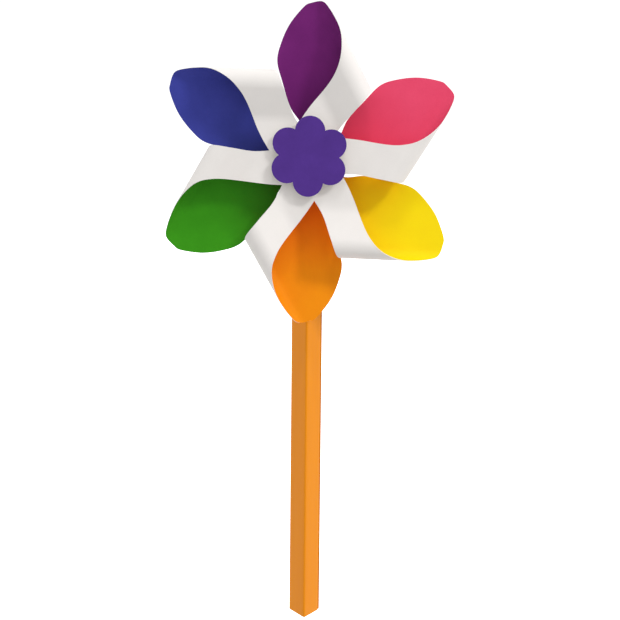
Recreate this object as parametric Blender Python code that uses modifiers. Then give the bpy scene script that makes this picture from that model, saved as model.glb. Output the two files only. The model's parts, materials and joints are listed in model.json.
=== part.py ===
"""A card pinwheel: six curled blades on a paper fastener, in front of a folded card stick.

Metres, +Z up, front of the wheel towards -Y. The origin is on the outer face of the stick's
back panel, where a hand or a clamp holds it. The wheel turns about an axle along Y.
Lengths in the constants below are in millimetres.
"""

import math
from collections import namedtuple

import bmesh
import bpy
import numpy as np
from mathutils import Vector

MM = 0.001

# Stick: a card strip folded into a three-sided tube, one ridge to the front
STICK_BELOW_GRIP = 60.0
STICK_LENGTH = 297.0
STICK_SIDE = 19.7
STICK_CARD = 0.5
STICK_FOLD_RADIUS = 0.8
FREE_EDGE_INSET = 0.15
SEAM_FLAP_WIDTH = 6.0
SEAM_TAPE_CARD = 0.3
SEAM_TAPE_WIDTH = 4.0
SEAM_TAPE_INSET = 1.0

# Wheel
HUB_HEIGHT = 217.4
WHEEL_TURN = 0.6
CARD = 0.3
LAYER_PITCH = 0.5
GAP = 0.3

# One blade, as a flat blank: s runs across it from the root hole towards the tail hole,
# t along the straight line about which the card curls. The four stretches follow each other
# anticlockwise round the blank and are joined by one smooth curve. Bent, each blade's tail sits
# TAIL_STEP in front of its root on the axle.
CURL_ANGLE = -61.8
FOLD_REACH = 53.4
FOLD_RADIUS = 8.0
SHOULDER_RADIUS = 9.0
TAIL_RADIUS = 15.0
TAIL_SLOPE = 22.5
TAIL_STEP = 12.2
ROOT_FLAT = 14.0
ROOT_BENDS = ((150.0, 2.0), (60.0, 6.5))
BLANK_MARGIN = 30.0
ROOT_AND_INNER_EDGE = (
    (-7.5, 9.0), (-9.0, 1.0), (-7.0, -6.0), (0.0, -9.0), (7.0, -5.5), (15.0, 3.0),
    (26.0, 11.0), (38.1, 17.3), (49.3, 22.0), (57.7, 22.8), (60.5, 20.2), (74.4, 14.8),
    (88.5, 9.6), (99.0, 2.6), (108.5, -4.5),
)
TAIL_END = ((117.5, -8.0), (125.0, -4.5), (127.5, 3.5), (123.0, 11.5))
TAIL_OUTER_EDGE = (
    (110.5, 21.8), (98.0, 29.2), (82.2, 35.7), (74.4, 40.3), (68.9, 45.6), (63.4, 53.5),
)
TAIL_EDGE_SHARES = (0.6, 1.0, 1.0, 1.0, 0.9, 0.5)
TAIL_TRIM_LEAN = 0.45
PETAL_EDGE = (
    (57.6, 63.0), (54.7, 71.0), (51.0, 78.4), (43.7, 81.3), (38.6, 81.3), (27.0, 76.5),
    (17.5, 69.2), (10.8, 61.0), (8.0, 49.0), (5.5, 34.0), (6.0, 19.0),
)
OUTLINE_STEPS = 3

# Blades from the back of the stack to the front. Direction and turn are in degrees. The last
# three values are the small differences of hand work: how far each blade is turned from its
# even place, how much further out it folds, and how much narrower its tail is cut.
Blade = namedtuple("Blade", "name colour direction turn reach trim")
BLADES = (
    Blade("purple", (0.115, 0.014, 0.110), 90.0, -1.25, -2.0, 0.5),
    Blade("pink", (0.735, 0.058, 0.130), 30.0, -1.0, -1.25, 1.75),
    Blade("yellow", (0.823, 0.591, 0.008), -30.0, -1.0, 0.0, 1.5),
    Blade("orange", (0.753, 0.212, 0.004), -90.0, 0.5, -0.25, 2.5),
    Blade("green", (0.026, 0.153, 0.007), -150.0, 1.25, 0.75, 3.5),
    Blade("blue", (0.032, 0.040, 0.205), 150.0, 0.0, -0.5, -0.25),
)

# Fastener, bead, washer
LEG_WIDTH = 3.0
LEG_CARD = 0.35
LEG_SLIT = 0.2
LEG_REACH = 13.0
LEG_BEND = 1.0
HOLE_RADIUS = 1.9
CUTTER_LENGTH = 120.0
CAP_RADIUS = 4.75
CAP_HEIGHT = 1.7
CAP_WALL = 0.4
BEAD_LENGTH = 6.5
BEAD_RADIUS = 4.6
BEAD_BORE = 2.1
BEAD_ROUND = 1.2
WASHER_RADIUS = 4.5
WASHER_CARD = 0.5
WASHER_ROUND = 0.1
GLUE_RADIUS = 3.0
GLUE_HEIGHT = 0.6
GLUE_BORE = 0.3

# Flower: six round lobes, glued on a little above the axle
FLOWER_LOBE_RADIUS = 8.7
FLOWER_LOBE_CENTRE = 14.4
FLOWER_SHIFT = 0.4
FLOWER_LIFT = 4.15
FLOWER_TURN = -2.0
FLOWER_CARD = 0.5
LOBE_STEPS = 10

# Places along the axle, measured forwards from the stick's back face
RIDGE_FRONT = STICK_SIDE * math.cos(math.radians(30.0))
BEAD_BACK = RIDGE_FRONT + GAP
STACK_BACK = BEAD_BACK + BEAD_LENGTH + GAP
STACK_FRONT = STACK_BACK + TAIL_STEP + LAYER_PITCH * (len(BLADES) - 1) + CARD
CAP_BACK = STACK_FRONT + GAP
GLUE_BACK = CAP_BACK + CAP_HEIGHT + GAP
FLOWER_BACK = GLUE_BACK + GLUE_HEIGHT + GAP
LEGS_FRONT = CAP_BACK + CAP_HEIGHT - CAP_WALL - GAP
LEGS_BACK = -GAP - WASHER_CARD - GAP


def clear_scene():
    """Start from nothing, whatever the file held."""
    for thing in list(bpy.data.objects):
        bpy.data.objects.remove(thing, do_unlink=True)


def new_collection(name):
    """A collection under the scene's own."""
    collection = bpy.data.collections.new(name)
    bpy.context.scene.collection.children.link(collection)
    return collection


def new_material(name, colour, roughness=0.7, metallic=0.0):
    """A plain Principled material."""
    material = bpy.data.materials.new(name)
    material.use_nodes = True
    shader = material.node_tree.nodes["Principled BSDF"]
    shader.inputs["Base Color"].default_value = (*colour, 1.0)
    shader.inputs["Roughness"].default_value = roughness
    shader.inputs["Metallic"].default_value = metallic
    return material


def add_object(name, bm, material=None, collection=None):
    """Turn a bmesh in millimetres into a named object in metres."""
    bmesh.ops.scale(bm, vec=(MM, MM, MM), verts=bm.verts)
    mesh = bpy.data.meshes.new(name)
    bm.to_mesh(mesh)
    bm.free()
    if material:
        mesh.materials.append(material)
    thing = bpy.data.objects.new(name, mesh)
    (collection or PARTS).objects.link(thing)
    return thing


def thicken(thing, thickness, offset=0.0):
    """Give an open card surface its thickness."""
    solidify = thing.modifiers.new("thickness", "SOLIDIFY")
    solidify.thickness = thickness * MM
    solidify.offset = offset
    solidify.use_even_offset = True


def cut(thing, cutter):
    """Take the cutter's volume out of a piece."""
    boolean = thing.modifiers.new("hole", "BOOLEAN")
    boolean.operation = "DIFFERENCE"
    boolean.solver = "EXACT"
    boolean.object = cutter


def turned(name, profile, material, closed=True, steps=32):
    """A profile of (radius, forward) points turned about the axle."""
    bm = bmesh.new()
    verts = [bm.verts.new((radius, 0.0, forward)) for radius, forward in profile]
    for first, second in zip(verts, verts[1:]):
        bm.edges.new((first, second))
    if closed:
        bm.edges.new((verts[-1], verts[0]))
    thing = add_object(name, bm, material)
    screw = thing.modifiers.new("turn", "SCREW")
    screw.axis = "Z"
    screw.angle = math.tau
    screw.steps = steps
    screw.render_steps = steps
    screw.use_merge_vertices = True
    screw.merge_threshold = 0.00001
    thing.location = (0.0, 0.0, HUB_HEIGHT * MM)
    thing.rotation_euler = (math.radians(90.0), 0.0, 0.0)


def smooth_loop(points, steps):
    """A closed Catmull-Rom curve through the points, with `steps` pieces between two of them."""
    rows = np.array(points)
    before = np.roll(rows, 1, axis=0)
    after = np.roll(rows, -1, axis=0)
    later = np.roll(rows, -2, axis=0)
    loop = []
    for p0, p1, p2, p3 in zip(before, rows, after, later):
        for step in range(steps):
            f = step / steps
            loop.append(0.5 * (2 * p1 + (p2 - p0) * f + (2 * p0 - 5 * p1 + 4 * p2 - p3) * f ** 2
                               + (3 * p1 - p0 - 3 * p2 + p3) * f ** 3))
    return loop


def curl_chain(reach):
    """The blade's section as (length, turn in degrees, pieces), from root hole to tail end."""
    chain = [(ROOT_FLAT, 0.0, 1)]
    run, rise, heading = ROOT_FLAT, 0.0, 0.0
    for radius, turn in ROOT_BENDS:
        ahead = heading + math.radians(turn)
        run += radius * (math.sin(ahead) - math.sin(heading))
        rise += radius * (math.cos(heading) - math.cos(ahead))
        chain.append((radius * math.radians(turn), turn, 2))
        heading = ahead
    ramp = (reach - FOLD_RADIUS * (1.0 - math.sin(heading)) - run) / math.cos(heading)
    top = rise + ramp * math.sin(heading) + FOLD_RADIUS * (1.0 + math.cos(heading))
    slope = math.radians(TAIL_SLOPE)
    bends = SHOULDER_RADIUS + TAIL_RADIUS
    straight = (top - TAIL_STEP - bends * (1.0 - math.cos(slope))) / math.sin(slope)
    tail_start = reach - FOLD_RADIUS - bends * math.sin(slope) - straight * math.cos(slope)
    return chain + [
        (ramp, 0.0, 1),
        (FOLD_RADIUS * (math.pi - heading), 180.0 - math.degrees(heading), 13),
        (SHOULDER_RADIUS * slope, TAIL_SLOPE, 2),
        (straight, 0.0, 1),
        (TAIL_RADIUS * slope, -TAIL_SLOPE, 4),
        (tail_start + BLANK_MARGIN, 0.0, 1),
    ]


def curl_section(reach):
    """Rows of (s, outwards, forwards) along the curled card's section."""
    rows = [(-BLANK_MARGIN, -BLANK_MARGIN, 0.0), (0.0, 0.0, 0.0)]
    s, out, forward, heading = 0.0, 0.0, 0.0, 0.0
    for length, turn, pieces in curl_chain(reach):
        step = length / pieces
        half_turn = math.radians(turn) / pieces / 2.0
        chord = step if half_turn == 0.0 else step * math.sin(half_turn) / half_turn
        for _ in range(pieces):
            heading += half_turn
            out += chord * math.cos(heading)
            forward += chord * math.sin(heading)
            heading += half_turn
            s += step
            rows.append((s, out, forward))
    return np.array(rows)


def blank_outline(trim):
    """The flat blank's outline, with `trim` millimetres off the tail's outer edge."""
    tail_edge = [(s - TAIL_TRIM_LEAN * trim * share, t - trim * share)
                 for (s, t), share in zip(TAIL_OUTER_EDGE, TAIL_EDGE_SHARES)]
    return smooth_loop((*ROOT_AND_INNER_EDGE, *TAIL_END, *tail_edge, *PETAL_EDGE), OUTLINE_STEPS)


def blade(plan, layer, cutter):
    """One blade: the flat blank, sliced along its curl lines, bent, and given its thickness."""
    section = curl_section(FOLD_REACH + plan.reach)
    bm = bmesh.new()
    bm.faces.new([bm.verts.new((s, t, 0.0)) for s, t in blank_outline(plan.trim)])
    for s in section[1:-1, 0]:
        everything = bm.verts[:] + bm.edges[:] + bm.faces[:]
        bmesh.ops.bisect_plane(bm, geom=everything, dist=1e-5, plane_co=(s, 0.0, 0.0),
                               plane_no=(1.0, 0.0, 0.0))
    curl = math.radians(plan.direction + plan.turn + WHEEL_TURN + CURL_ANGLE)
    across = Vector((math.cos(curl), 0.0, math.sin(curl)))
    along = Vector((-math.sin(curl), 0.0, math.cos(curl)))
    root = STACK_BACK + LAYER_PITCH * layer + CARD / 2.0
    for vert in bm.verts:
        out = float(np.interp(vert.co.x, section[:, 0], section[:, 1]))
        forward = float(np.interp(vert.co.x, section[:, 0], section[:, 2]))
        vert.co = out * across + vert.co.y * along + Vector((0.0, -root - forward, 0.0))
    thing = add_object("blade_" + plan.name, bm, new_material("card_" + plan.name, plan.colour))
    thing.location = (0.0, 0.0, HUB_HEIGHT * MM)
    thicken(thing, CARD)
    cut(thing, cutter)


def axle_cutter(cutters):
    """The round hole that the fastener's legs go through, from end to end."""
    bm = bmesh.new()
    bmesh.ops.create_cone(bm, cap_ends=True, segments=24, radius1=HOLE_RADIUS,
                          radius2=HOLE_RADIUS, depth=CUTTER_LENGTH)
    cutter = add_object("axle_hole", bm, collection=cutters)
    cutter.location = (0.0, 0.0, HUB_HEIGHT * MM)
    cutter.rotation_euler = (math.radians(90.0), 0.0, 0.0)
    cutter.hide_render = True
    cutter.display_type = "WIRE"
    return cutter


def flower(material):
    """The flat card flower: one arc for each lobe."""
    lobes = 6
    half_gap = FLOWER_LOBE_CENTRE * math.sin(math.pi / lobes)
    half_arc = math.pi / 2.0 + math.pi / lobes - math.acos(half_gap / FLOWER_LOBE_RADIUS)
    bm = bmesh.new()
    ring = []
    for lobe in range(lobes):
        middle = math.radians(90.0 + FLOWER_TURN) + math.tau * lobe / lobes
        for step in range(LOBE_STEPS):
            angle = middle + half_arc * (2.0 * step / LOBE_STEPS - 1.0)
            x = FLOWER_LOBE_CENTRE * math.cos(middle) + FLOWER_LOBE_RADIUS * math.cos(angle)
            z = FLOWER_LOBE_CENTRE * math.sin(middle) + FLOWER_LOBE_RADIUS * math.sin(angle)
            ring.append(bm.verts.new((x, 0.0, z)))
    bm.faces.new(ring)
    thing = add_object("flower_cap", bm, material)
    forward = FLOWER_BACK + FLOWER_CARD / 2.0
    thing.location = (FLOWER_SHIFT * MM, -forward * MM, (HUB_HEIGHT + FLOWER_LIFT) * MM)
    thicken(thing, FLOWER_CARD)


def dome_arc(radius, height, pieces=6):
    """A quarter of an ellipse from the rim to the axle, as (radius, forward) points."""
    arc = [(radius * math.cos(a), CAP_BACK + height * math.sin(a))
           for a in np.linspace(0.0, math.pi / 2.0, pieces + 1)[:-1]]
    return arc + [(0.0, CAP_BACK + height)]


def fastener_cap(material):
    """The domed head: a shell turned about the axle, open at the back."""
    outside = dome_arc(CAP_RADIUS, CAP_HEIGHT)
    inside = dome_arc(CAP_RADIUS - CAP_WALL, CAP_HEIGHT - CAP_WALL)
    turned("fastener_cap", outside[::-1] + inside, material, closed=False)


def fastener_legs(material):
    """One strip folded in two: along the axle, then splayed up and down behind the stick."""
    half_gap = (LEG_SLIT + LEG_CARD) / 2.0
    back = LEGS_BACK - LEG_CARD / 2.0
    front = LEGS_FRONT - LEG_CARD / 2.0
    upper = [(LEG_REACH, back)]
    for angle in np.linspace(0.0, math.pi / 2.0, 5):
        upper.append((half_gap + LEG_BEND - LEG_BEND * math.sin(angle),
                      back + LEG_BEND - LEG_BEND * math.cos(angle)))
    for angle in np.linspace(0.0, math.pi / 2.0, 4)[:-1]:
        upper.append((half_gap * math.cos(angle), front - half_gap + half_gap * math.sin(angle)))
    path = upper + [(0.0, front)] + [(-z, forward) for z, forward in reversed(upper)]
    bm = bmesh.new()
    left = [bm.verts.new((-LEG_WIDTH / 2.0, -forward, z)) for z, forward in path]
    right = [bm.verts.new((LEG_WIDTH / 2.0, -forward, z)) for z, forward in path]
    for i in range(len(path) - 1):
        bm.faces.new((left[i], right[i], right[i + 1], left[i + 1]))
    thing = add_object("fastener_legs", bm, material)
    thing.location = (0.0, 0.0, HUB_HEIGHT * MM)
    thicken(thing, LEG_CARD)


def ring_profile(bore, radius, back, length, round_over):
    """A ring's closed section with rounded outer corners, outer side first."""
    profile = []
    for middle, turn in ((back + length - round_over, 90.0), (back + round_over, 0.0)):
        for step in range(5):
            angle = math.radians(turn - 90.0 * step / 4.0)
            profile.append((radius - round_over + round_over * math.cos(angle),
                            middle + round_over * math.sin(angle)))
    return profile + [(bore, back), (bore, back + length)]


def rounded_path(corners, radius, steps):
    """An open path with its inner corners rounded."""
    path = [Vector(corners[0])]
    for before, corner, after in zip(corners, corners[1:], corners[2:]):
        corner = Vector(corner)
        back = (Vector(before) - corner).normalized()
        ahead = (Vector(after) - corner).normalized()
        half = back.angle(ahead) / 2.0
        middle = (back + ahead).normalized()
        side = Vector((-middle.y, middle.x))
        sweep = (math.pi / 2.0 - half) * (1.0 if back.dot(side) > 0.0 else -1.0)
        centre = corner + middle * radius / math.sin(half)
        for step in range(steps + 1):
            angle = sweep * (1.0 - 2.0 * step / steps)
            path.append(centre + radius * (side * math.sin(angle) - middle * math.cos(angle)))
    path.append(Vector(corners[-1]))
    return path


def stick_corners():
    """The folded strip's middle line in plan, from its free edge round to the flap's edge."""
    half_card = STICK_CARD / 2.0
    side = STICK_SIDE - 2.0 * half_card / math.tan(math.radians(30.0))
    ridge = (0.0, -(RIDGE_FRONT - 2.0 * half_card))
    left = (-side / 2.0, -half_card)
    right = (side / 2.0, -half_card)
    flap = -half_card - STICK_CARD - SEAM_TAPE_CARD - 2.0 * GAP
    inset = (abs(flap) - half_card) / math.tan(math.radians(60.0))
    flap_corner = (right[0] - inset, flap)
    flap_edge = (flap_corner[0] - SEAM_FLAP_WIDTH, flap)
    free_edge = (right[0] - FREE_EDGE_INSET, -half_card)
    return free_edge, left, ridge, flap_corner, flap_edge


def stick_tube(material, cutter):
    """The folded card tube with its glue flap inside the back panel."""
    path = rounded_path(stick_corners(), STICK_FOLD_RADIUS - STICK_CARD / 2.0, 4)
    bottom = -STICK_BELOW_GRIP
    bm = bmesh.new()
    low = [bm.verts.new((p.x, p.y, bottom)) for p in path]
    high = [bm.verts.new((p.x, p.y, bottom + STICK_LENGTH)) for p in path]
    for i in range(len(path) - 1):
        bm.faces.new((low[i], low[i + 1], high[i + 1], high[i]))
    thing = add_object("stick_tube", bm, material)
    thicken(thing, STICK_CARD)
    cut(thing, cutter)


def seam_tape(material):
    """The adhesive strip between the flap and the back panel."""
    flap_corner, flap_edge = stick_corners()[3:]
    middle = (flap_corner[0] + flap_edge[0]) / 2.0
    depth = STICK_CARD + GAP + SEAM_TAPE_CARD / 2.0
    bm = bmesh.new()
    bmesh.ops.create_cube(bm, size=1.0)
    size = (SEAM_TAPE_WIDTH, SEAM_TAPE_CARD, STICK_LENGTH - 2.0 * SEAM_TAPE_INSET)
    bmesh.ops.scale(bm, vec=size, verts=bm.verts)
    thing = add_object("seam_tape", bm, material)
    centre = STICK_LENGTH / 2.0 - STICK_BELOW_GRIP
    thing.location = (middle * MM, -depth * MM, centre * MM)


clear_scene()
PARTS = new_collection("pinwheel")
CUTTERS = new_collection("cutters")
AXLE_HOLE = axle_cutter(CUTTERS)

for number, blade_plan in enumerate(BLADES):
    blade(blade_plan, number, AXLE_HOLE)

BRASS = new_material("brass", (0.72, 0.48, 0.18), roughness=0.3, metallic=1.0)
flower(new_material("card_violet", (0.080, 0.033, 0.231)))
turned("glue_dot", ((GLUE_RADIUS, GLUE_BACK + GLUE_HEIGHT), (GLUE_RADIUS, GLUE_BACK),
                    (GLUE_BORE, GLUE_BACK), (GLUE_BORE, GLUE_BACK + GLUE_HEIGHT)),
       new_material("glue", (0.8, 0.8, 0.75), roughness=0.2))
fastener_cap(BRASS)
fastener_legs(BRASS)
turned("spacer_bead", ring_profile(BEAD_BORE, BEAD_RADIUS, BEAD_BACK, BEAD_LENGTH, BEAD_ROUND),
       new_material("bead_plastic", (0.8, 0.8, 0.78), roughness=0.25))
turned("rear_washer",
       ring_profile(BEAD_BORE, WASHER_RADIUS, -GAP - WASHER_CARD, WASHER_CARD, WASHER_ROUND),
       new_material("washer_brass", (0.70, 0.50, 0.22), roughness=0.35, metallic=1.0))
STICK_MATERIAL = new_material("card_stick_orange", (0.787, 0.283, 0.021))
stick_tube(STICK_MATERIAL, AXLE_HOLE)
seam_tape(new_material("tape", (0.85, 0.85, 0.80), roughness=0.5))
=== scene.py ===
"""The looks of a card pinwheel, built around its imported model.

Six curled blades of white card printed on one face, a card flower over a brass paper fastener,
and a stick folded from orange card. Metres, +Z up, the front of the wheel towards -Y. Lengths
in the constants are in millimetres, and colours are linear.
"""
import json
import math
from collections import namedtuple

import bmesh
import bpy
import numpy as np
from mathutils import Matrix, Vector


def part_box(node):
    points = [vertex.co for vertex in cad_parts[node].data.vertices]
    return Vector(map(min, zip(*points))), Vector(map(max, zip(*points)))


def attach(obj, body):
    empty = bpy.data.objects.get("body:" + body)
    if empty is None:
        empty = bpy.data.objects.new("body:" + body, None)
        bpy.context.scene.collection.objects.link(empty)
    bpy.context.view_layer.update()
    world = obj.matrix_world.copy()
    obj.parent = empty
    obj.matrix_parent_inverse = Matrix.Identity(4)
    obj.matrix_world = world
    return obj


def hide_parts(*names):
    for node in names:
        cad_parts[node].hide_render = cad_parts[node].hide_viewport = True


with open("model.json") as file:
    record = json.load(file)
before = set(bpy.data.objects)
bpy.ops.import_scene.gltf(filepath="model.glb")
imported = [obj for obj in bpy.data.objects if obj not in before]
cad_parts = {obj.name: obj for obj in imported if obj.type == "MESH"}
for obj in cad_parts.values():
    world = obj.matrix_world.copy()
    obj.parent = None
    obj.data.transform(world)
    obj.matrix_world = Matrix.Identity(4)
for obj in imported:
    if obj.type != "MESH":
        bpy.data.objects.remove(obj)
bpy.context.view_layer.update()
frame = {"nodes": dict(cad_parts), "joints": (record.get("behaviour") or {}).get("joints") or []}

MM = 0.001
HUB = Vector(next(j["pos_m"] for j in frame["joints"] if j["name"] == "rotor_spin"))

# Camera, placed from the hub
CAMERA_BACK = 806.1
CAMERA_SIDE = 1.84
CAMERA_PITCH = 6.3
CAMERA_ROLL = 0.57
CAMERA_LENS = 76.945
CAMERA_SENSOR = 36.0

# Stage and light
FLOOR_BELOW = 600.0
FLOOR_SIZE = 40.0
FLOOR_COLOUR = (0.9, 0.9, 0.9, 1.0)
FLOOR_ROUGHNESS = 0.9
KEY_DIRECTION = (0.612, -0.500, 0.612)
KEY_STRENGTH = 1.20
TOP_DIRECTION = (0.0, -0.500, 0.866)
TOP_STRENGTH = 0.40
LIGHT_ANGLE = 10.0
ROOM_BLEND = 0.12
FRONT_LOW, FRONT_HIGH = 0.62, 0.80
BACK_LOW, BACK_HIGH = 1.50, 1.05

# Card stack at the hub, measured forwards from the stick's back face
CARD = 0.3
LAYER_PITCH = 0.5
GAP = 0.3
BEAD_LENGTH = 6.5
HOLE_RADIUS = 1.9
CUTTER_LENGTH = 120.0
WHEEL_TURN = 0.6

# Stick: a card strip folded into a three-sided tube, one ridge to the front
STICK_BOTTOM = -60.0
STICK_LENGTH = 297.0
STICK_SIDE = 19.7
STICK_CARD = 0.5
STICK_FOLD_RADIUS = 0.8
FREE_EDGE_INSET = 0.15
SEAM_FLAP_WIDTH = 6.0
SEAM_TAPE_CARD = 0.3
SCORE_PITCH = 1.4
SCORE_DEPTH = 0.1
SCORE_HALF_WIDTH = 0.45
STICK_ROW = 0.35
STICK_COLUMN = 2.5
# At the score dents the stick takes its lighter edge colour: partly crushed card, partly a painted
# highlight along the ridge
SCORE_WEAR_AND_HIGHLIGHT = 0.35

# One blade, as a flat blank: s runs across it from the root hole towards the tail hole,
# t along the straight line about which the card curls. Bent, each blade's tail sits TAIL_STEP
# in front of its root on the axle.
CURL_ANGLE = -61.8
FOLD_REACH = 53.4
FOLD_RADIUS = 8.0
SHOULDER_RADIUS = 9.0
TAIL_RADIUS = 15.0
TAIL_SLOPE = 22.5
TAIL_STEP = 12.2
ROOT_FLAT = 14.0
ROOT_BENDS = ((150.0, 2.0), (60.0, 6.5))
BLANK_MARGIN = 30.0
ROOT_AND_INNER_EDGE = (
    (-7.5, 9.0), (-9.0, 1.0), (-7.0, -6.0), (0.0, -9.0), (7.0, -5.5), (15.0, 3.0),
    (26.0, 11.0), (38.1, 17.3), (49.3, 22.0), (57.7, 22.8), (60.5, 20.2), (74.4, 14.8),
    (88.5, 9.6), (99.0, 2.6), (108.5, -4.5),
)
TAIL_END = ((117.5, -8.0), (125.0, -4.5), (127.5, 3.5), (123.0, 11.5))
TAIL_OUTER_EDGE = (
    (110.5, 21.8), (98.0, 29.2), (82.2, 35.7), (74.4, 40.3), (68.9, 45.6), (63.4, 53.5),
)
TAIL_EDGE_SHARES = (0.6, 1.0, 1.0, 1.0, 0.9, 0.5)
TAIL_TRIM_LEAN = 0.45
PETAL_EDGE = (
    (57.6, 63.0), (54.7, 71.0), (51.0, 78.4), (43.7, 81.3), (38.6, 81.3), (27.0, 76.5),
    (17.5, 69.2), (10.8, 61.0), (8.0, 49.0), (5.5, 34.0), (6.0, 19.0),
)
OUTLINE_STEPS = 9
CARD_BORDER = 0.65
CLOUD_SIZE = 14.0
FIBRE_SIZE = 0.9
FIBRE_DEPTH = 0.05
CARD_SPECULAR = 0.1
# Over these distances from the hub, the blades' painted shade (darker and redder, for the shade deep
# in the curl) fades into the print
HUB_SHADE_NEAR = 22.0
HUB_SHADE_FAR = 72.0
CUT_LINE = 0.22
CARD_NET = 2.5
CARD_NET_FROM, CARD_NET_TO, CARD_NET_SHIFT = -10.0, 82.0, 0.37
CARD_BEVEL = 0.05
SHARP_ABOVE = 28.0
BEVEL_ABOVE = 50.0

# Blades from the back of the stack to the front: the printed colour, its deeper shade, a painted
# shade near the hub, the direction in degrees, and the small differences of hand work
Blade = namedtuple("Blade", "name colour deep near direction turn reach trim")
BLADES = (
    Blade("purple", (0.186, 0.017, 0.177), (0.153, 0.013, 0.149), (0.175, 0.014, 0.165),
          90.0, -1.25, -2.0, 0.5),
    Blade("pink", (0.845, 0.077, 0.166), (0.792, 0.064, 0.144), (0.900, 0.050, 0.110),
          30.0, -1.0, -1.25, 1.75),
    Blade("yellow", (0.930, 0.710, 0.002), (0.900, 0.660, 0.002), (0.920, 0.560, 0.001),
          -30.0, -1.0, 0.0, 1.5),
    Blade("orange", (0.880, 0.275, 0.002), (0.840, 0.245, 0.002), (0.930, 0.132, 0.001),
          -90.0, 0.5, -0.25, 2.5),
    Blade("green", (0.044, 0.315, 0.008), (0.036, 0.270, 0.006), (0.020, 0.150, 0.004),
          -150.0, 1.25, 0.75, 3.5),
    Blade("blue", (0.050, 0.060, 0.358), (0.040, 0.049, 0.303), (0.046, 0.055, 0.326),
          150.0, 0.0, -0.5, -0.25),
)

# Other card: its colour, its deeper shade, and the line along its cut edges (on the stick also in the
# score dents, partly a painted highlight)
LEAF_BACK = ((0.835, 0.800, 0.770), (0.805, 0.772, 0.742), (0.760, 0.730, 0.700))
LEAF_CORE = ((0.860, 0.840, 0.820), (0.800, 0.780, 0.760), (0.860, 0.840, 0.820))
FLOWER_FRONT = ((0.088, 0.034, 0.270), (0.074, 0.028, 0.225), (0.022, 0.008, 0.055))
STICK_OUTSIDE = ((0.790, 0.262, 0.006), (0.745, 0.236, 0.005), (0.920, 0.460, 0.100))
STICK_INSIDE = ((0.720, 0.250, 0.020), (0.660, 0.220, 0.016), (0.850, 0.400, 0.080))
STICK_CORE = ((0.800, 0.360, 0.070), (0.700, 0.280, 0.040), (0.800, 0.360, 0.070))
ALONG_STICK = (1.0, 1.0, 0.12)

# Flower: six round lobes, glued on a little above the axle
FLOWER_LOBE_RADIUS = 8.7
FLOWER_LOBE_CENTRE = 14.4
FLOWER_SHIFT = 0.4
FLOWER_LIFT = 4.15
FLOWER_TURN = -2.0
FLOWER_CARD = 0.5
LOBE_STEPS = 36
FLOWER_NET = 2.0
FLOWER_NET_HALF = 24.0
FLOWER_NET_SHIFT = 0.3

# Places along the axle
RIDGE_FRONT = STICK_SIDE * math.cos(math.radians(30.0))
STACK_BACK = RIDGE_FRONT + GAP + BEAD_LENGTH + GAP


# ---------------------------------------------------------------- materials

def new_material(name):
    """A material, its node tree and its Principled shader."""
    material = bpy.data.materials.new(name)
    material.use_nodes = True
    tree = material.node_tree
    return material, tree, tree.nodes["Principled BSDF"]


def add_node(tree, kind, inputs=None, **settings):
    """One node, with its settings, and its inputs set or linked by name or number."""
    node = tree.nodes.new(kind)
    for key, value in settings.items():
        setattr(node, key, value)
    for key, value in (inputs or {}).items():
        if isinstance(value, bpy.types.NodeSocket):
            tree.links.new(value, node.inputs[key])
        else:
            node.inputs[key].default_value = value
    return node


def texture_place(tree, stretch=(1.0, 1.0, 1.0)):
    """The piece's own coordinates in metres, stretched along its axes."""
    coords = add_node(tree, "ShaderNodeTexCoord")
    return add_node(tree, "ShaderNodeMapping", {"Vector": coords.outputs["Object"],
                                                "Scale": stretch}).outputs["Vector"]


def grain(tree, place, size, detail=4.0, roughness=0.6):
    """Noise whose largest features are `size` millimetres."""
    return add_node(tree, "ShaderNodeTexNoise", {"Vector": place, "Scale": 1.0 / (size * MM),
                                                 "Detail": detail,
                                                 "Roughness": roughness}).outputs["Fac"]


def remap(tree, value, low, high, to_low, to_high):
    """A value's range low..high stretched to to_low..to_high and kept inside it."""
    return add_node(tree, "ShaderNodeMapRange", {"Value": value, "From Min": low, "From Max": high,
                                                 "To Min": to_low, "To Max": to_high}
                    ).outputs["Result"]


def maths(tree, operation, first, second):
    """Arithmetic on two values."""
    return add_node(tree, "ShaderNodeMath", {0: first, 1: second}, operation=operation
                    ).outputs["Value"]


def mix_colours(tree, share, first, second):
    """From the first colour to the second by share."""
    colours = {key: value if isinstance(value, bpy.types.NodeSocket) else (*value, 1.0)
               for key, value in ((6, first), (7, second))}
    return add_node(tree, "ShaderNodeMix", {0: share, **colours}, data_type="RGBA").outputs[2]


def relief(tree, height, depth, strength=1.0):
    """Bump from a 0..1 height that stands for `depth` millimetres."""
    return add_node(tree, "ShaderNodeBump", {"Height": height, "Distance": depth * MM,
                                             "Strength": strength}).outputs["Normal"]


def hub_shade_share(tree):
    """Where the painted hub shade shows: 0 near the hub and 1 out on the leaf."""
    coords = add_node(tree, "ShaderNodeTexCoord").outputs["Object"]
    away = add_node(tree, "ShaderNodeVectorMath", {0: coords, 1: HUB}, operation="DISTANCE")
    return remap(tree, away.outputs["Value"], HUB_SHADE_NEAR * MM, HUB_SHADE_FAR * MM, 0.0, 1.0)


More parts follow.
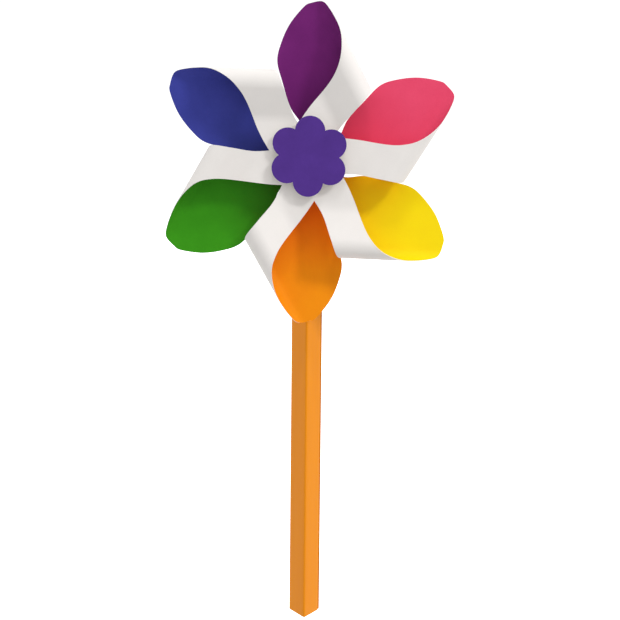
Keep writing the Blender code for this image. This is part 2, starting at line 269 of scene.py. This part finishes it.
def card_material(name, colour, deep, edge, roughness=0.62, worn=0.8, stretch=(1.0, 1.0, 1.0),
                  near=None):
    """Card stock: cloudy ink, fine fibres, a line along its cuts, and a painted shade at the hub."""
    material, tree, shader = new_material(name)
    place = texture_place(tree, stretch)
    clouds = grain(tree, place, CLOUD_SIZE, 3.0)
    fibres = grain(tree, place, FIBRE_SIZE, 6.0, 0.75)
    tone = maths(tree, "ADD", maths(tree, "MULTIPLY", clouds, 0.55),
                 maths(tree, "MULTIPLY", fibres, 0.45))
    ink = mix_colours(tree, remap(tree, tone, 0.35, 0.65, 0.0, 1.0), deep, colour)
    # Painted shade: towards the hub the print turns to the darker, redder near colour, standing in for
    # the shade and coloured bounce inside the curl
    if near:
        ink = mix_colours(tree, hub_shade_share(tree), near, ink)
    border = add_node(tree, "ShaderNodeAttribute", attribute_name="wear").outputs["Fac"]
    line = maths(tree, "MULTIPLY", border, remap(tree, fibres, 0.40, 0.62, 0.2, 1.0))
    shown = mix_colours(tree, maths(tree, "MULTIPLY", line, worn), ink, edge)
    tree.links.new(shown, shader.inputs["Base Color"])
    rough = remap(tree, fibres, 0.3, 0.7, roughness - 0.07, roughness + 0.09)
    tree.links.new(rough, shader.inputs["Roughness"])
    tree.links.new(relief(tree, fibres, FIBRE_DEPTH, 0.6), shader.inputs["Normal"])
    shader.inputs["Specular IOR Level"].default_value = CARD_SPECULAR
    return material


def metal_material(name, colour, dull, roughness=0.28):
    """Thin rolled brass: fine scratches, and a duller film in patches."""
    material, tree, shader = new_material(name)
    film = grain(tree, texture_place(tree), 2.2, 4.0)
    scratches = grain(tree, texture_place(tree, (1.0, 1.0, 0.06)), 0.12, 3.0)
    shown = mix_colours(tree, remap(tree, film, 0.42, 0.66, 0.0, 1.0), colour, dull)
    tree.links.new(shown, shader.inputs["Base Color"])
    marks = maths(tree, "ADD", maths(tree, "MULTIPLY", film, 0.5),
                  maths(tree, "MULTIPLY", scratches, 0.5))
    rough = remap(tree, marks, 0.3, 0.7, roughness - 0.08, roughness + 0.16)
    tree.links.new(rough, shader.inputs["Roughness"])
    tree.links.new(relief(tree, scratches, 0.01, 0.5), shader.inputs["Normal"])
    shader.inputs["Metallic"].default_value = 1.0
    return material


def plastic_material(name, colour, shade, roughness=0.24):
    """Moulded bead plastic: a cloudy white body with handling haze."""
    material, tree, shader = new_material(name)
    cloud = grain(tree, texture_place(tree), 3.0, 3.0)
    haze = grain(tree, texture_place(tree), 0.4, 5.0)
    shown = mix_colours(tree, remap(tree, cloud, 0.35, 0.65, 0.0, 1.0), shade, colour)
    tree.links.new(shown, shader.inputs["Base Color"])
    rough = remap(tree, haze, 0.3, 0.7, roughness - 0.06, roughness + 0.12)
    tree.links.new(rough, shader.inputs["Roughness"])
    tree.links.new(relief(tree, haze, 0.01, 0.4), shader.inputs["Normal"])
    shader.inputs["Subsurface Weight"].default_value = 0.25
    shader.inputs["Subsurface Radius"].default_value = (0.0015, 0.0013, 0.0011)
    shader.inputs["Subsurface Scale"].default_value = 1.0
    return material


# ---------------------------------------------------------------- meshes

def smooth_loop(points, steps):
    """A closed Catmull-Rom curve through the points, with `steps` pieces between two of them."""
    rows = np.array(points)
    before = np.roll(rows, 1, axis=0)
    after = np.roll(rows, -1, axis=0)
    later = np.roll(rows, -2, axis=0)
    loop = []
    for p0, p1, p2, p3 in zip(before, rows, after, later):
        for step in range(steps):
            f = step / steps
            loop.append(0.5 * (2 * p1 + (p2 - p0) * f + (2 * p0 - 5 * p1 + 4 * p2 - p3) * f ** 2
                               + (3 * p1 - p0 - 3 * p2 + p3) * f ** 3))
    return loop


def smooth_step(value, low, high):
    """0 below low, 1 above high, and smooth between."""
    f = min(max((value - low) / (high - low), 0.0), 1.0)
    return f * f * (3.0 - 2.0 * f)


def flat_card(outline, border):
    """A flat outline as one face with a narrow ring of faces round it, marked along the cut."""
    bm = bmesh.new()
    worn = bm.verts.layers.float.new("wear")
    face = bm.faces.new([bm.verts.new((x, y, 0.0)) for x, y in outline])
    bmesh.ops.inset_region(bm, faces=[face], thickness=border, use_even_offset=True)
    for vert in bm.verts:
        vert[worn] = 1.0
    for vert in face.verts:
        vert[worn] = 0.0
    return bm


def slice_card(bm, places, axis):
    """Cut the flat card by lines across x (axis 0) or y (axis 1)."""
    normal = Vector((0.0, 0.0, 0.0))
    normal[axis] = 1.0
    for place in places:
        everything = bm.verts[:] + bm.edges[:] + bm.faces[:]
        bmesh.ops.bisect_plane(bm, geom=everything, dist=1e-4, plane_co=normal * place,
                               plane_no=normal)


def add_object(name, bm, materials):
    """Turn a bmesh in millimetres into a named object in metres, in the frame."""
    bmesh.ops.scale(bm, vec=(MM, MM, MM), verts=bm.verts)
    mesh = bpy.data.meshes.new(name)
    bm.to_mesh(mesh)
    bm.free()
    for material in materials:
        mesh.materials.append(material)
    thing = bpy.data.objects.new(name, mesh)
    bpy.context.scene.collection.objects.link(thing)
    return thing


def thicken(thing, thickness):
    """Give a card sheet its thickness: printed face, back, and core along the cut."""
    solidify = thing.modifiers.new("thickness", "SOLIDIFY")
    solidify.thickness = thickness * MM
    solidify.offset = 0.0
    solidify.use_even_offset = True
    solidify.material_offset = 1
    solidify.material_offset_rim = 2


def soften(thing, width, segments, material=-1):
    """Round a piece's sharp edges."""
    bevel = thing.modifiers.new("edges", "BEVEL")
    bevel.width = width * MM
    bevel.segments = segments
    bevel.limit_method = "ANGLE"
    bevel.angle_limit = math.radians(BEVEL_ABOVE)
    bevel.material = material


def axle_cutter():
    """The round hole from end to end, as a hidden shape."""
    bm = bmesh.new()
    bmesh.ops.create_cone(bm, cap_ends=True, segments=48, radius1=HOLE_RADIUS,
                          radius2=HOLE_RADIUS, depth=CUTTER_LENGTH)
    cutter = add_object("axle_hole", bm, ())
    cutter.location = HUB
    cutter.rotation_euler = (math.radians(90.0), 0.0, 0.0)
    return cutter


def cut(thing, cutter):
    """Take the cutter's volume out of a piece."""
    boolean = thing.modifiers.new("hole", "BOOLEAN")
    boolean.operation = "DIFFERENCE"
    boolean.solver = "EXACT"
    boolean.object = cutter


def settle(thing):
    """Apply the modifiers and shade the piece smooth, with its corners kept."""
    bpy.context.view_layer.update()
    graph = bpy.context.evaluated_depsgraph_get()
    mesh = bpy.data.meshes.new_from_object(thing.evaluated_get(graph), depsgraph=graph)
    thing.modifiers.clear()
    thing.data = mesh
    mesh.shade_smooth()
    mesh.set_sharp_from_angle(angle=math.radians(SHARP_ABOVE))


def stand_for(thing, body, node):
    """A finished piece: attached to what it moves with, and the CAD node that it shows hidden."""
    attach(thing, body)
    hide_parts(node)


# ---------------------------------------------------------------- blades

def curl_chain(reach):
    """The blade's section as (length, turn in degrees, pieces), from root hole to tail end."""
    chain = [(ROOT_FLAT, 0.0, 5)]
    run, rise, heading = ROOT_FLAT, 0.0, 0.0
    for radius, turn in ROOT_BENDS:
        ahead = heading + math.radians(turn)
        run += radius * (math.sin(ahead) - math.sin(heading))
        rise += radius * (math.cos(heading) - math.cos(ahead))
        chain.append((radius * math.radians(turn), turn, 6))
        heading = ahead
    ramp = (reach - FOLD_RADIUS * (1.0 - math.sin(heading)) - run) / math.cos(heading)
    top = rise + ramp * math.sin(heading) + FOLD_RADIUS * (1.0 + math.cos(heading))
    slope = math.radians(TAIL_SLOPE)
    bends = SHOULDER_RADIUS + TAIL_RADIUS
    straight = (top - TAIL_STEP - bends * (1.0 - math.cos(slope))) / math.sin(slope)
    tail_start = reach - FOLD_RADIUS - bends * math.sin(slope) - straight * math.cos(slope)
    return chain + [
        (ramp, 0.0, 8),
        (FOLD_RADIUS * (math.pi - heading), 180.0 - math.degrees(heading), 40),
        (SHOULDER_RADIUS * slope, TAIL_SLOPE, 8),
        (straight, 0.0, 5),
        (TAIL_RADIUS * slope, -TAIL_SLOPE, 12),
        (tail_start + BLANK_MARGIN, 0.0, 16),
    ]


def curl_section(reach):
    """Rows of (s, outwards, forwards) along the curled card's section."""
    rows = [(-BLANK_MARGIN, -BLANK_MARGIN, 0.0), (0.0, 0.0, 0.0)]
    s, out, forward, heading = 0.0, 0.0, 0.0, 0.0
    for length, turn, pieces in curl_chain(reach):
        step = length / pieces
        half_turn = math.radians(turn) / pieces / 2.0
        chord = step if half_turn == 0.0 else step * math.sin(half_turn) / half_turn
        for _ in range(pieces):
            heading += half_turn
            out += chord * math.cos(heading)
            forward += chord * math.sin(heading)
            heading += half_turn
            s += step
            rows.append((s, out, forward))
    return np.array(rows)


def blank_outline(trim):
    """The flat blank's outline, with `trim` millimetres off the tail's outer edge."""
    tail_edge = [(s - TAIL_TRIM_LEAN * trim * share, t - trim * share)
                 for (s, t), share in zip(TAIL_OUTER_EDGE, TAIL_EDGE_SHARES)]
    return smooth_loop((*ROOT_AND_INNER_EDGE, *TAIL_END, *tail_edge, *PETAL_EDGE), OUTLINE_STEPS)


def blade(plan, layer, cutter, back, core):
    """One blade: the flat blank, sliced along its curl lines, bent, and given its thickness."""
    section = curl_section(FOLD_REACH + plan.reach)
    bm = flat_card(blank_outline(plan.trim), CARD_BORDER)
    slice_card(bm, section[1:-1, 0], 0)
    slice_card(bm, np.arange(CARD_NET_FROM, CARD_NET_TO, CARD_NET) + CARD_NET_SHIFT, 1)
    curl = math.radians(plan.direction + plan.turn + WHEEL_TURN + CURL_ANGLE)
    across = Vector((math.cos(curl), 0.0, math.sin(curl)))
    along = Vector((-math.sin(curl), 0.0, math.cos(curl)))
    root = STACK_BACK + LAYER_PITCH * layer + CARD / 2.0
    for vert in bm.verts:
        s, t = vert.co.x, vert.co.y
        out, forward = (float(np.interp(s, section[:, 0], section[:, i])) for i in (1, 2))
        vert.co = out * across + t * along + Vector((0.0, -root - forward, 0.0)) + HUB / MM
    line = tuple(CUT_LINE * channel for channel in plan.colour)
    front = card_material("print_" + plan.name, plan.colour, plan.deep, line, 0.58, near=plan.near)
    thing = add_object("card_blade_" + plan.name, bm, (front, back, core))
    thicken(thing, CARD)
    cut(thing, cutter)
    soften(thing, CARD_BEVEL, 1, 2)
    settle(thing)
    stand_for(thing, "rotor", "blade_" + plan.name)


# ---------------------------------------------------------------- flower

def flower_outline():
    """Six round lobes, one arc for each."""
    lobes = 6
    half_gap = FLOWER_LOBE_CENTRE * math.sin(math.pi / lobes)
    half_arc = math.pi / 2.0 + math.pi / lobes - math.acos(half_gap / FLOWER_LOBE_RADIUS)
    ring = []
    for lobe in range(lobes):
        middle = math.radians(90.0 + FLOWER_TURN) + math.tau * lobe / lobes
        for step in range(LOBE_STEPS):
            angle = middle + half_arc * (2.0 * step / LOBE_STEPS - 1.0)
            ring.append((FLOWER_LOBE_CENTRE * math.cos(middle) + FLOWER_LOBE_RADIUS * math.cos(angle),
                         FLOWER_LOBE_CENTRE * math.sin(middle) + FLOWER_LOBE_RADIUS * math.sin(angle)))
    return ring


def flower(back, core):
    """The card flower over the fastener's head."""
    bm = flat_card(flower_outline(), CARD_BORDER)
    for axis in (0, 1):
        rows = np.arange(-FLOWER_NET_HALF, FLOWER_NET_HALF, FLOWER_NET) + FLOWER_NET_SHIFT
        slice_card(bm, rows, axis)
    low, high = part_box("flower_cap")
    middle = (low.y + high.y) / 2.0 / MM
    for vert in bm.verts:
        vert.co = Vector((vert.co.x + FLOWER_SHIFT, middle, vert.co.y + FLOWER_LIFT)) + Vector(
            (HUB.x, 0.0, HUB.z)) / MM
    front = card_material("print_violet", *FLOWER_FRONT, 0.6, 0.9)
    thing = add_object("card_flower", bm, (front, back, core))
    thicken(thing, FLOWER_CARD)
    soften(thing, CARD_BEVEL, 1, 2)
    settle(thing)
    stand_for(thing, "rotor", "flower_cap")


# ---------------------------------------------------------------- stick

def rounded_path(corners, radius, steps):
    """An open path with its inner corners rounded."""
    path = [Vector(corners[0])]
    for before, corner, after in zip(corners, corners[1:], corners[2:]):
        corner = Vector(corner)
        back = (Vector(before) - corner).normalized()
        ahead = (Vector(after) - corner).normalized()
        half = back.angle(ahead) / 2.0
        middle = (back + ahead).normalized()
        side = Vector((-middle.y, middle.x))
        sweep = (math.pi / 2.0 - half) * (1.0 if back.dot(side) > 0.0 else -1.0)
        centre = corner + middle * radius / math.sin(half)
        for step in range(steps + 1):
            angle = sweep * (1.0 - 2.0 * step / steps)
            path.append(centre + radius * (side * math.sin(angle) - middle * math.cos(angle)))
    path.append(Vector(corners[-1]))
    return path


def stick_corners():
    """The folded strip's middle line in plan, from its free edge round to the flap's edge."""
    half_card = STICK_CARD / 2.0
    side = STICK_SIDE - 2.0 * half_card / math.tan(math.radians(30.0))
    ridge = (0.0, -(RIDGE_FRONT - 2.0 * half_card))
    left = (-side / 2.0, -half_card)
    right = (side / 2.0, -half_card)
    flap = -half_card - STICK_CARD - SEAM_TAPE_CARD - 2.0 * GAP
    inset = (abs(flap) - half_card) / math.tan(math.radians(60.0))
    flap_corner = (right[0] - inset, flap)
    flap_edge = (flap_corner[0] - SEAM_FLAP_WIDTH, flap)
    free_edge = (right[0] - FREE_EDGE_INSET, -half_card)
    return free_edge, left, ridge, flap_corner, flap_edge


def with_middles(path, longest):
    """The path with its long stretches divided."""
    fine = [path[0]]
    for first, second in zip(path, path[1:]):
        pieces = max(1, math.ceil((second - first).length / longest))
        fine += [first.lerp(second, i / pieces) for i in range(1, pieces + 1)]
    return fine


def score_dent(x, y, z):
    """How deep the perforated score line is pressed in at a point of the ridge."""
    ridge_y = -(RIDGE_FRONT - STICK_CARD)
    aside = math.hypot(x, y - ridge_y)
    if aside > 2.0 * SCORE_HALF_WIDTH:
        return 0.0
    wave = 0.5 + 0.5 * math.cos(math.tau * z / SCORE_PITCH)
    return SCORE_DEPTH * wave ** 2 * (1.0 - smooth_step(aside, 0.0, 2.0 * SCORE_HALF_WIDTH))


def stick(cutter, inside, core):
    """The folded card tube, with the perforated score line that its front ridge is folded on."""
    folded = rounded_path(stick_corners(), STICK_FOLD_RADIUS - STICK_CARD / 2.0, 8)
    path = with_middles(folded, STICK_COLUMN)
    rows = math.ceil(STICK_LENGTH / STICK_ROW)
    bm = bmesh.new()
    worn = bm.verts.layers.float.new("wear")
    net = []
    for row in range(rows + 1):
        z = STICK_BOTTOM + STICK_LENGTH * row / rows
        line = []
        for point in path:
            dent = score_dent(point.x, point.y, z)
            vert = bm.verts.new((point.x, point.y + dent, z))
            # Lighter in the score dents: partly crushed card, partly a painted highlight
            vert[worn] = 1.0 if row in (0, rows) else SCORE_WEAR_AND_HIGHLIGHT * dent / SCORE_DEPTH
            line.append(vert)
        net.append(line)
    for low, high in zip(net, net[1:]):
        for i in range(len(path) - 1):
            bm.faces.new((low[i], low[i + 1], high[i + 1], high[i]))
    outside = card_material("print_stick_orange", *STICK_OUTSIDE, 0.55, 0.8, ALONG_STICK)
    thing = add_object("card_stick", bm, (outside, inside, core))
    thicken(thing, STICK_CARD)
    cut(thing, cutter)
    settle(thing)
    stand_for(thing, "stick", "stick_tube")


# ---------------------------------------------------------------- small parts

def finish_node(node, material, width=0.0, segments=2):
    """Keep a CAD node as it is shown, with its own material and softened edges."""
    thing = frame["nodes"][node]
    thing.data.materials.clear()
    thing.data.materials.append(material)
    if width:
        soften(thing, width, segments)


def small_parts():
    """The fastener, bead, washer, glue and tape."""
    brass = metal_material("brass_leaf", (0.86, 0.62, 0.24), (0.62, 0.42, 0.15))
    finish_node("fastener_cap", brass)
    finish_node("fastener_legs", brass)
    finish_node("rear_washer", metal_material("washer_leaf", (0.80, 0.60, 0.28),
                                              (0.60, 0.43, 0.18), 0.34))
    finish_node("spacer_bead", plastic_material("bead_white", (0.83, 0.83, 0.80),
                                                (0.77, 0.77, 0.74)))
    finish_node("glue_dot", plastic_material("glue_clear", (0.80, 0.78, 0.70),
                                             (0.72, 0.70, 0.60), 0.18))
    finish_node("seam_tape", plastic_material("tape_film", (0.82, 0.81, 0.74),
                                              (0.74, 0.73, 0.66), 0.40))


# ---------------------------------------------------------------- stage

def floor():
    """A plain pale floor, well below the stick."""
    bm = bmesh.new()
    bmesh.ops.create_grid(bm, x_segments=1, y_segments=1, size=FLOOR_SIZE / 2.0 / MM)
    material, _, shader = new_material("pale_floor")
    shader.inputs["Base Color"].default_value = FLOOR_COLOUR
    shader.inputs["Roughness"].default_value = FLOOR_ROUGHNESS
    shader.inputs["Emission Color"].default_value = (1.0, 1.0, 1.0, 1.0)
    shader.inputs["Emission Strength"].default_value = 1.0
    thing = add_object("floor", bm, (material,))
    thing.location = (0.0, 0.0, -FLOOR_BELOW * MM)
    thing.visible_diffuse = False
    thing.visible_glossy = False


def sky():
    """A white room: a soft front, and bright walls and floor behind the wheel."""
    world = bpy.data.worlds.new("studio")
    world.use_nodes = True
    bpy.context.scene.world = world
    tree = world.node_tree
    coords = add_node(tree, "ShaderNodeTexCoord")
    way = add_node(tree, "ShaderNodeSeparateXYZ", {0: coords.outputs["Generated"]}).outputs
    front = remap(tree, way["Z"], -ROOM_BLEND, ROOM_BLEND, FRONT_LOW, FRONT_HIGH)
    back = remap(tree, way["Z"], -ROOM_BLEND, ROOM_BLEND, BACK_LOW, BACK_HIGH)
    share = remap(tree, way["Y"], -ROOM_BLEND, ROOM_BLEND, 0.0, 1.0)
    gain = maths(tree, "MULTIPLY", maths(tree, "SUBTRACT", back, front), share)
    shader = tree.nodes["Background"]
    shader.inputs["Color"].default_value = (1.0, 1.0, 1.0, 1.0)
    tree.links.new(maths(tree, "ADD", front, gain), shader.inputs["Strength"])


def soft_light(name, direction, strength):
    """A broad soft light from far away."""
    data = bpy.data.lights.new(name, "SUN")
    data.energy = strength
    data.angle = math.radians(LIGHT_ANGLE)
    thing = bpy.data.objects.new(name, data)
    thing.rotation_mode = "QUATERNION"
    thing.rotation_quaternion = Vector(direction).to_track_quat("Z", "Y")
    bpy.context.scene.collection.objects.link(thing)


def camera():
    """The camera level with the hub, looking a little down."""
    data = bpy.data.cameras.new("camera")
    data.lens = CAMERA_LENS
    data.sensor_width = CAMERA_SENSOR
    thing = bpy.data.objects.new("camera", data)
    thing.location = HUB + Vector((CAMERA_SIDE, -CAMERA_BACK, 0.0)) * MM
    thing.rotation_mode = "ZYX"
    thing.rotation_euler = (math.radians(90.0 - CAMERA_PITCH), 0.0, math.radians(CAMERA_ROLL))
    bpy.context.scene.collection.objects.link(thing)
    bpy.context.scene.camera = thing


def build():
    """The whole picture."""
    bpy.context.scene.view_settings.view_transform = "Standard"
    camera()
    floor()
    sky()
    soft_light("key", KEY_DIRECTION, KEY_STRENGTH)
    soft_light("top", TOP_DIRECTION, TOP_STRENGTH)
    cutter = axle_cutter()
    back = card_material("card_white", *LEAF_BACK, 0.6, 0.5)
    core = card_material("card_core", *LEAF_CORE, 0.8, 0.0)
    for number, plan in enumerate(BLADES):
        blade(plan, number, cutter, back, core)
    flower(back, core)
    stick_inside = card_material("card_stick_inside", *STICK_INSIDE, 0.7, 0.5)
    stick_core = card_material("card_stick_core", *STICK_CORE, 0.8, 0.0)
    stick(cutter, stick_inside, stick_core)
    bpy.data.objects.remove(cutter, do_unlink=True)
    small_parts()


build()
